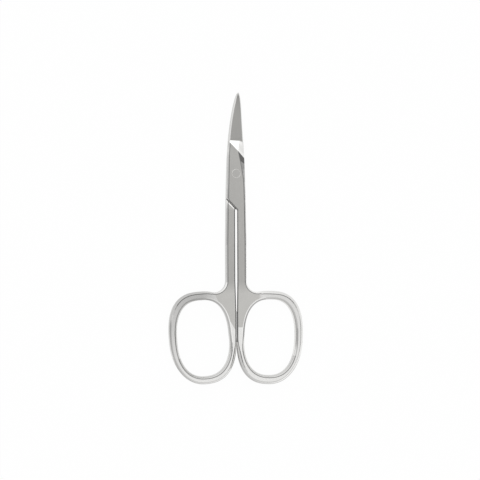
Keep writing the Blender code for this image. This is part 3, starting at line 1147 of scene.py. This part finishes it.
@dataclass(frozen=True)
class ForgedSteel:
    """Material of a forging: ground where the wheel went flat over it, polished elsewhere, with
    shade and highlights painted into its colour.
    """

    name: str
    look: SteelLook
    flat_end: float
    flat_reach: float
    blade_start: float
    flat_slant: float = 0.0
    edge_softness: float = 0.12 * MM
    reach_softness: float = 1.5 * MM
    blade_softness: float = 1.0 * MM
    # Where the painted light on the web and the painted shade on the ring start, end and grow
    # outwards.
    web_start: float = -38 * MM
    web_end: float = -42 * MM
    ring_end: float = -73 * MM
    outward_run: float = 10 * MM
    outward_start: float = 0.2

    def _streaks(self, graph: Graph, scale: Point, detail: float) -> Shade:
        """Noise that is drawn out into streaks along the axes of small scale.

        Args:
            graph: The material's nodes.
            scale: Scale of the noise on each axis.
            detail: How many finer layers it has.

        Returns:
            The noise.
        """
        coordinates = graph.node("ShaderNodeTexCoord").outputs["Object"]
        mapping = graph.node("ShaderNodeMapping", None,
                             {"Vector": coordinates, "Scale": scale})
        return graph.shade("ShaderNodeTexNoise", None,
                           {"Vector": mapping.outputs[0], "Scale": 1.0, "Detail": detail,
                            "Roughness": self.look.noise_roughness})

    def build(self) -> bpy.types.Material:
        """Make the material.

        Returns:
            The material.
        """
        look = self.look
        material = bpy.data.materials.new(self.name)
        material.use_nodes = True
        graph = Graph(material.node_tree)
        coordinates = graph.node("ShaderNodeTexCoord").outputs["Object"]
        axes = graph.node("ShaderNodeSeparateXYZ", None, {0: coordinates})
        along, across_axis = Shade(graph, axes.outputs["Y"]), Shade(graph, axes.outputs["X"])
        # The tone attribute holds each face's painted shade or highlight.
        flats, tones = (graph.shade("ShaderNodeAttribute", {"attribute_name": name},
                                    output="Fac")
                        for name in (GROUND_ATTRIBUTE, TONE_ATTRIBUTE))
        slanting = along + across_axis * self.flat_slant
        above_ring = slanting.rising(self.flat_end, self.edge_softness)
        reached = across_axis.at_least(across_axis * -1.0)
        before_limb = reached.falling(self.flat_reach, self.reach_softness)
        ground = flats * above_ring * before_limb
        on_blade = along.rising(self.blade_start, self.blade_softness)
        on_limb = along.falling(self.web_start, self.web_start - self.web_end)
        ring_share = along.rising(self.ring_end, self.web_end - self.ring_end)

        across, down = look.grain_across, look.grain_along
        lengthwise = self._streaks(graph, (across, down, across), look.grain_detail)
        crosswise = self._streaks(graph, (down, across, down), look.grain_detail)
        grain = lengthwise + (crosswise - lengthwise) * on_blade
        smudge = self._streaks(graph, (look.smudge_scale,) * 3, look.smudge_detail) - NOISE_MIDDLE
        scratch_scale = (look.scratches_across, look.scratches_along, look.scratches_across)
        scratch_noise = self._streaks(graph, scratch_scale, look.scratch_detail)
        scratches = (scratch_noise * look.scratch_gain - look.scratch_start).held()

        colour = graph.mix_colours(ground, look.polished, look.ground)
        tone = 1.0 + smudge * look.tone_spread + (grain - NOISE_MIDDLE) * look.grain_spread
        # Painted light on the web's ground faces, painted shade on the ring's polished faces
        # towards the web and outwards, and each face's painted tone.
        outward = (reached * (1 / self.outward_run) - self.outward_start).held()
        limb_painted_light_and_shade = (ground * look.web_painted_light
                     - (1.0 - ground) * ring_share * outward * look.ring_painted_shade)
        tone = tone * tones * (1.0 + on_limb * limb_painted_light_and_shade + on_blade * ground * look.blade_gain)
        shaded = graph.mix_colours(1.0, colour, tone.socket, "MULTIPLY")
        roughness = (look.polished_roughness
                     + ground * (look.ground_roughness - look.polished_roughness)
                     + smudge * look.tone_spread + scratches * look.scratch_roughness)
        height = grain * ground * look.grain_depth - scratches * look.scratch_depth
        bump = graph.node("ShaderNodeBump", None,
                          {"Strength": look.bump_strength, "Distance": 1.0,
                           "Height": height})
        shader = graph.node("ShaderNodeBsdfPrincipled", None,
                            {"Base Color": shaded, "Roughness": roughness.held(),
                             "Metallic": 1.0, "Normal": bump.outputs[0]})
        graph.node("ShaderNodeOutputMaterial", None, {"Surface": shader.outputs[0]})
        return material


def linked_object(bm: BMesh, name: str) -> bpy.types.Object:
    """Make an object of a mesh that has been built, and use that up.

    Args:
        bm: The mesh, whose faces are turned outwards first.
        name: The object's name.

    Returns:
        The object.
    """
    bmesh.ops.recalc_face_normals(bm, faces=bm.faces)
    mesh = bpy.data.meshes.new(name)
    bm.to_mesh(mesh)
    bm.free()
    made = bpy.data.objects.new(name, mesh)
    bpy.context.scene.collection.objects.link(made)
    return made


def dress(piece: bpy.types.Object, steel: ForgedSteel, grounds: list[float],
          tones: list[float], sharp_angle: float) -> None:
    """Give a piece its steel, the numbers that this reads and smooth shading.

    Args:
        piece: The object to dress.
        steel: Its finish.
        grounds: For each face, one where it is ground and zero where it is polished.
        tones: For each face, how much of the steel's colour its painted shade or highlight
            leaves.
        sharp_angle: Edges that turn further than this stay sharp.
    """
    mesh = piece.data
    for name, values in ((GROUND_ATTRIBUTE, grounds), (TONE_ATTRIBUTE, tones)):
        mesh.attributes.new(name, "FLOAT", "FACE").data.foreach_set("value", values)
    mesh.shade_smooth()
    mesh.set_sharp_from_angle(angle=sharp_angle)
    mesh.materials.clear()
    mesh.materials.append(steel.build())


@dataclass
class Half:
    """One forging, from its tip to its ring, as a single closed skin."""

    side: Side
    stock: Stock
    blade: Blade
    joint: Joint
    handle: Handle
    look: SteelLook
    flat_end: float
    flat_reach: float
    flat_slant: float
    hole_cutter: bpy.types.Object
    sharp_angle: float = radians(38)
    normal_weight: int = 100
    piece: Optional[bpy.types.Object] = field(default=None, init=False)

    def _loft(self, bm: BMesh) -> Station:
        """Skin through the stations from the tip to the plain shank.

        Args:
            bm: The mesh to add to.

        Returns:
            The last station, where the handle joins on.
        """
        steps = self.stock.easing_steps
        stations = self.blade.stations() + self.joint.stations()
        rows = [[bm.verts.new(self.stock.place(self.side, point))
                 for point in eased_outline(station.corners, steps, closed=True)]
                for station in stations]
        for station, row, following in zip(stations, rows, rows[1:]):
            for index, finish in enumerate(station.finishes(steps)):
                after = (index + 1) % len(row)
                face = bm.faces.new((row[index], row[after], following[after], following[index]))
                face.material_index = finish.value
        bm.faces.new(rows[0])
        return stations[-1]

    def _strip(self, bm: BMesh, stops: list[EdgeStop], closed: bool) -> list[list[BMVert]]:
        """Skin along an outline's bevels and wall.

        Args:
            bm: The mesh to add to.
            stops: The outline.
            closed: Whether it joins up.

        Returns:
            The rows of vertices, one for each stop.
        """
        rows = [[bm.verts.new(self.stock.place(self.side, point)) for point in profile]
                for profile in self.handle.profiles(stops, closed)]
        following_rows = rows[1:] + (rows[:1] if closed else [])
        for stop, row, following in zip(stops, rows, following_rows):
            for index, finish in enumerate(self.handle.finishes(stop)):
                face = bm.faces.new((row[index], row[index + 1],
                                     following[index + 1], following[index]))
                face.material_index = finish.value
        return rows

    @staticmethod
    def _cap(bm: BMesh, rim: list[BMVert], hole: list[BMVert]) -> None:
        """Close a flat face between the outer line and the hole's line.

        Args:
            bm: The mesh to add to.
            rim: The outer line.
            hole: The hole's line.
        """
        edges = [bm.edges.get(ends) or bm.edges.new(ends)
                 for line in (rim, hole) for ends in zip(line, line[1:] + line[:1])]
        made = bmesh.ops.triangle_fill(bm, edges=edges, use_beauty=True, use_dissolve=False)
        for element in made["geom"]:
            if isinstance(element, BMFace):
                element.material_index = FinishAndPaintedLight.GROUND.value

    def _add_handle(self, bm: BMesh, joining: Station) -> None:
        """Skin the shank's lower end, the web and the ring.

        Args:
            bm: The mesh to add to.
            joining: The last station, whose corners without easing lie inside its faces.
        """
        rim = self._strip(bm, self.handle.outline(), closed=False)
        hole = self._strip(bm, self.handle.hole(), closed=True)
        lower, *upper = [bm.verts.new(self.stock.place(self.side, corner.point))
                         for corner in joining.corners if corner.radius is None]
        self._cap(bm, [row[0] for row in rim] + [lower], [row[0] for row in hole])
        self._cap(bm, [row[-1] for row in rim] + upper, [row[-1] for row in hole])

    def _cut_rivet_hole(self) -> None:
        """Cut the countersunk hole that the rivet turns in."""
        cut = self.piece.modifiers.new("rivet hole", "BOOLEAN")
        cut.operation = "DIFFERENCE"
        cut.solver = "EXACT"
        cut.object = self.hole_cutter
        evaluated = self.piece.evaluated_get(bpy.context.evaluated_depsgraph_get())
        self.piece.data = bpy.data.meshes.new_from_object(evaluated)
        self.piece.modifiers.clear()

    def _take_finishes(self) -> list[FinishAndPaintedLight]:
        """Take each face's finish and painted tone from its material index, and clear that.

        Returns:
            The finishes and painted tones in the order of the faces.
        """
        finishes = []
        for polygon in self.piece.data.polygons:
            finishes.append(FinishAndPaintedLight(polygon.material_index))
            polygon.material_index = 0
        return finishes

    def build(self) -> None:
        """Make the half, dress it and hang it on its body."""
        bm = bmesh.new()
        self._add_handle(bm, self._loft(bm))
        bmesh.ops.remove_doubles(bm, verts=bm.verts, dist=MERGE_DISTANCE)
        open_edges = sum(len(edge.link_faces) != 2 for edge in bm.edges)
        self.piece = linked_object(bm, self.side.node + "_forging")
        self._cut_rivet_hole()
        finishes = self._take_finishes()
        steel = ForgedSteel(self.side.slot + "_finish", self.look, self.flat_end,
                            self.flat_reach, self.blade.face_start, self.flat_slant)
        # Each face's painted shade or highlight goes in as its tone.
        dress(self.piece, steel, [float(finish is FinishAndPaintedLight.GROUND) for finish in finishes],
              [self.look.tone(finish) for finish in finishes], self.sharp_angle)
        weighted = self.piece.modifiers.new("even shading", "WEIGHTED_NORMAL")
        weighted.keep_sharp = True
        weighted.weight = self.normal_weight
        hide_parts(self.side.node)
        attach(self.piece, self.side.body)
        self.side.slot
        LOG.info("%s: %d faces, %d edges open before the cut", self.piece.name,
                 len(self.piece.data.polygons), open_edges)


@dataclass
class Rivet:
    """The pivot rivet, spread and ground flush at both ends, and the hole it turns in."""

    stock: Stock
    shaft: float = 1.0 * MM
    head: float = 1.5 * MM
    head_depth: float = 0.5 * MM
    crown: float = 0.003 * MM
    rim_easing: float = 0.06 * MM
    fit: float = 0.02 * MM
    overrun: float = 0.5 * MM
    steps: int = 96
    flat_normal: float = 0.9
    sharp_angle: float = radians(30)

    def _turned(self, name: str, profile: list[tuple[float, float]]) -> bpy.types.Object:
        """Solid turned about the upright axis.

        Args:
            name: The object's name.
            profile: Radius and height, from the top centre to the bottom centre.

        Returns:
            The object.
        """
        bm = bmesh.new()
        rows = []
        for radius, z in profile:
            if radius == 0:
                rows.append([bm.verts.new((0, 0, z))] * self.steps)
                continue
            rows.append([bm.verts.new((radius * cos(2 * pi * step / self.steps),
                                       radius * sin(2 * pi * step / self.steps), z))
                         for step in range(self.steps)])
        for upper, lower in zip(rows, rows[1:]):
            for step in range(self.steps):
                after = (step + 1) % self.steps
                ring = (upper[step], upper[after], lower[after], lower[step])
                bm.faces.new(list(dict.fromkeys(ring)))
        return linked_object(bm, name)

    def cutter(self) -> bpy.types.Object:
        """Solid that cuts the rivet's hole with its running fit.

        Returns:
            The solid.
        """
        slope = (self.head - self.shaft) / self.head_depth
        mouth, shaft = self.head + self.fit + self.overrun * slope, self.shaft + self.fit
        top, bottom = self.stock.thickness, 0.0
        return self._turned("rivet_hole_cutter",
                            [(0, top + self.overrun), (mouth, top + self.overrun),
                             (shaft, top - self.head_depth), (shaft, bottom + self.head_depth),
                             (mouth, bottom - self.overrun), (0, bottom - self.overrun)])

    def build(self, look: SteelLook) -> None:
        """Make the rivet, dress it and hang it on the rear half's body.

        Args:
            look: Colours and roughness of its steel.
        """
        top = self.stock.thickness
        upper = [(self.head * share, top - self.crown * share ** 2) for share in (0, 1 / 2)]
        upper += [(self.head - self.rim_easing, top - self.crown),
                  (self.head, top - self.crown - self.rim_easing),
                  (self.shaft, top - self.head_depth)]
        lower = [(radius, top - z) for radius, z in reversed(upper)]
        piece = self._turned("rivet_spread", upper + lower)
        steel = ForgedSteel("rivet_steel_finish", look, flat_end=-2 * self.head,
                            flat_reach=3 * self.head, blade_start=2 * self.head)
        ground = [float(abs(polygon.normal.z) > self.flat_normal)
                  for polygon in piece.data.polygons]
        dress(piece, steel, ground, [1.0] * len(ground), self.sharp_angle)
        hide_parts("pivot_rivet")
        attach(piece, "rear")
        LOG.info("%s: %d faces", piece.name, len(piece.data.polygons))


@dataclass
class Studio:
    """Pale floor, soft light all round and the camera above the scissors."""

    floor_size: float = 6.0
    floor_drop: float = 0.05 * MM
    floor_colour: Colour = (0.90, 0.90, 0.90)
    floor_glow: float = 0.97
    light_at_horizon: float = 0.40
    light_gain_upwards: float = 0.48
    light_gain_ahead: float = 0.25
    light_gain_behind: float = 0.2
    panel_gain: float = 0.33
    panel_start: float = 0.03
    panel_edge: float = 0.09
    card_loss: float = 0.50
    card_towards: Point = (0.88, 0.0, 0.47)
    card_spread: float = radians(20)
    camera_tilt: float = radians(11)
    camera_roll: float = radians(-0.22)
    camera_distance: float = 0.60
    camera_lens: float = 128.0
    camera_clip: float = 10 * MM
    look_at: Plan = (1.82 * MM, -22.85 * MM)

    def _floor(self) -> None:
        """Lay the floor, which shows white to the camera but keeps the shadow."""
        bpy.ops.mesh.primitive_plane_add(size=self.floor_size, location=(0, 0, -self.floor_drop))
        floor = bpy.context.object
        floor.name = "floor"
        material = bpy.data.materials.new("floor_paper")
        material.use_nodes = True
        graph = Graph(material.node_tree)
        paper = graph.node("ShaderNodeBsdfDiffuse", None, {"Color": (*self.floor_colour, 1.0)})
        glow = graph.node("ShaderNodeEmission", None,
                          {"Color": (1.0, 1.0, 1.0, 1.0), "Strength": 1.0})
        path = graph.node("ShaderNodeLightPath")
        seen = Shade(graph, path.outputs["Is Camera Ray"])
        for ray in ("Is Glossy Ray", "Is Transmission Ray"):
            seen = seen.at_least(Shade(graph, path.outputs[ray]))
        shown = graph.node("ShaderNodeMixShader", None,
                           {0: seen * self.floor_glow, 1: paper.outputs[0], 2: glow.outputs[0]})
        graph.node("ShaderNodeOutputMaterial", None, {"Surface": shown.outputs[0]})
        floor.data.materials.append(material)

    def _sky(self) -> None:
        """Surround the scene with a tent of light: a bright panel ahead, a dark card right."""
        world = bpy.data.worlds.new("light_tent")
        world.use_nodes = True
        bpy.context.scene.world = world
        graph = Graph(world.node_tree)
        direction = graph.node("ShaderNodeTexCoord").outputs["Generated"]
        parts = graph.node("ShaderNodeSeparateXYZ", None, {0: direction})
        x, y, z = (Shade(graph, parts.outputs[axis]) for axis in "XYZ")
        panel = y.rising(self.panel_start, self.panel_edge)
        rim = cos(self.card_spread)
        card_x, card_y, card_z = self.card_towards
        card = (x * card_x + y * card_y + z * card_z).rising(rim, 1 - rim)
        light = (self.light_at_horizon + z.at_least(0.0) * self.light_gain_upwards
                 + panel * self.panel_gain
                 + y.at_least(0.0) * self.light_gain_ahead
                 - y.at_most(0.0) * self.light_gain_behind - card * self.card_loss)
        background = graph.node("ShaderNodeBackground", None,
                                {"Color": (1.0, 1.0, 1.0, 1.0), "Strength": light})
        graph.node("ShaderNodeOutputWorld", None, {"Surface": background.outputs[0]})

    def _camera(self) -> None:
        """Hang the camera above, turned a little to the left."""
        camera = bpy.data.objects.new("camera", bpy.data.cameras.new("camera"))
        bpy.context.scene.collection.objects.link(camera)
        target = Vector((*self.look_at, 0.0))
        back = Vector((-sin(self.camera_tilt), 0.0, cos(self.camera_tilt)))
        camera.location = target + back * self.camera_distance
        camera.rotation_euler = (0.0, -self.camera_tilt, self.camera_roll)
        camera.data.lens = self.camera_lens
        camera.data.clip_start = self.camera_clip
        bpy.context.scene.camera = camera

    def build(self) -> None:
        """Set up floor, light and camera."""
        self._floor()
        self._sky()
        self._camera()
        bpy.context.scene.view_settings.view_transform = "Standard"
        LOG.info("studio: floor, light tent and camera")


def main() -> None:
    """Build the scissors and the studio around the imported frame."""
    logging.basicConfig(level=logging.INFO, format="%(name)s: %(message)s")
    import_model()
    stock = Stock()
    blade = Blade(stock)
    rear_joint, front_joint = Joint(stock, blade), Joint(stock, blade, shank_gap=0.6 * MM)
    rear_handle = Handle(stock, rear_joint, lean=radians(4.2), width_inside=2.35 * MM,
                         hole_width=18.4 * MM, width_outside=2.87 * MM, width_below=2.82 * MM,
                         rim_bevel=Bevel(0.85 * MM, 0.75 * MM, 0.36 * MM, 0.18 * MM))
    front_handle = Handle(stock, front_joint, lean=radians(1.7), width_below=3.22 * MM,
                          rim_bevel=Bevel(1.05 * MM, 0.93 * MM, 0.38 * MM, 0.18 * MM))
    look = SteelLook()
    # The rear ring is painted with deeper shade.
    rear_look = replace(look, ring_painted_shade=0.42)
    rivet = Rivet(stock)
    cutter = rivet.cutter()
    Half(Side.REAR, stock, blade, rear_joint, rear_handle, rear_look, flat_end=-55.6 * MM,
         flat_reach=9.0 * MM, flat_slant=1.66, hole_cutter=cutter).build()
    Half(Side.FRONT, stock, blade, front_joint, front_handle, look, flat_end=-53.9 * MM,
         flat_reach=9.5 * MM, flat_slant=0.0, hole_cutter=cutter).build()
    bpy.data.objects.remove(cutter)
    rivet.build(look)
    Studio().build()


if __name__ == "__main__":
    main()
